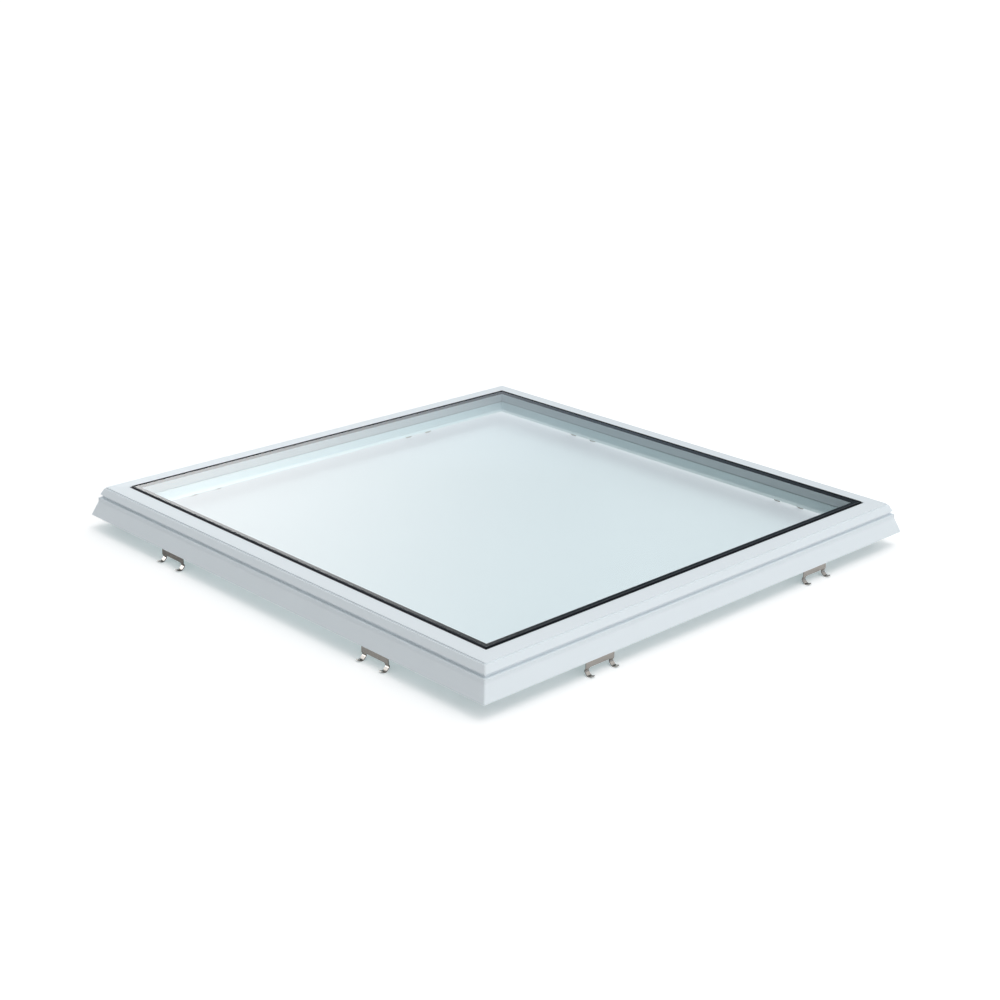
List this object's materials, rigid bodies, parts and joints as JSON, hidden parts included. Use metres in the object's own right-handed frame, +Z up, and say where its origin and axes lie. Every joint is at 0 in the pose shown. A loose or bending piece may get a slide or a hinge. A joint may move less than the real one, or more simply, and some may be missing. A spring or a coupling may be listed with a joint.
{
  "type": "roof skylight",
  "caption": "Fixed flat rooflight: square white mitred frame with a flared skirt, a sealed double-glazed unit, a black gasket and sprung steel clips for a roof kerb.",
  "frame": {"origin": "middle of the frame on the plane that the clips' feet stand on", "axes": "+Z up through the glass, +X and +Y square to two adjacent sides"},
  "size_m": [1.0112, 1.0112, 0.0796],
  "materials": {
    "base_plastic": "satin white rigid plastic",
    "cap_plastic": "satin white rigid plastic",
    "gasket_rubber": "satin black rubber",
    "tape_rubber": "dark grey foam tape",
    "kerb_foam": "black closed-cell foam",
    "spacer_aluminium": "matt mill finish",
    "key_plastic": "grey moulded plastic",
    "desiccant": "fine beads",
    "seal_rubber": "cured black sealant",
    "outer_glass": "clear float glass with a faint green edge",
    "inner_glass": "clear laminated glass",
    "block_plastic": "moulded plastic packer",
    "clip_steel": "bright rolled stainless spring sheet",
    "screw_steel": "stainless pan-head screw"
  },
  "bodies": {
    "root": {"base_frame_front": "base_plastic", "base_frame_right": "base_plastic", "base_frame_back": "base_plastic", "base_frame_left": "base_plastic", "glazing_cap_front": "cap_plastic", "glazing_cap_right": "cap_plastic", "glazing_cap_back": "cap_plastic", "glazing_cap_left": "cap_plastic", "top_gasket_front": "gasket_rubber", "top_gasket_right": "gasket_rubber", "top_gasket_back": "gasket_rubber", "top_gasket_left": "gasket_rubber", "seat_tape_front": "tape_rubber", "seat_tape_right": "tape_rubber", "seat_tape_back": "tape_rubber", "seat_tape_left": "tape_rubber", "kerb_seal_front": "kerb_foam", "kerb_seal_right": "kerb_foam", "kerb_seal_back": "kerb_foam", "kerb_seal_left": "kerb_foam", "spacer_bar_front": "spacer_aluminium", "spacer_bar_right": "spacer_aluminium", "spacer_bar_back": "spacer_aluminium", "spacer_bar_left": "spacer_aluminium", "spacer_corner_keys": "key_plastic", "desiccant_fill": "desiccant", "edge_seal": "seal_rubber", "outer_pane": "outer_glass", "inner_pane": "inner_glass", "glazing_blocks": "block_plastic", "fixing_clip_front_a": "clip_steel", "fixing_clip_front_b": "clip_steel", "fixing_clip_right_a": "clip_steel", "fixing_clip_right_b": "clip_steel", "fixing_clip_back_a": "clip_steel", "fixing_clip_back_b": "clip_steel", "fixing_clip_left_a": "clip_steel", "fixing_clip_left_b": "clip_steel", "clip_screws": "screw_steel"}
  },
  "joints": []
}
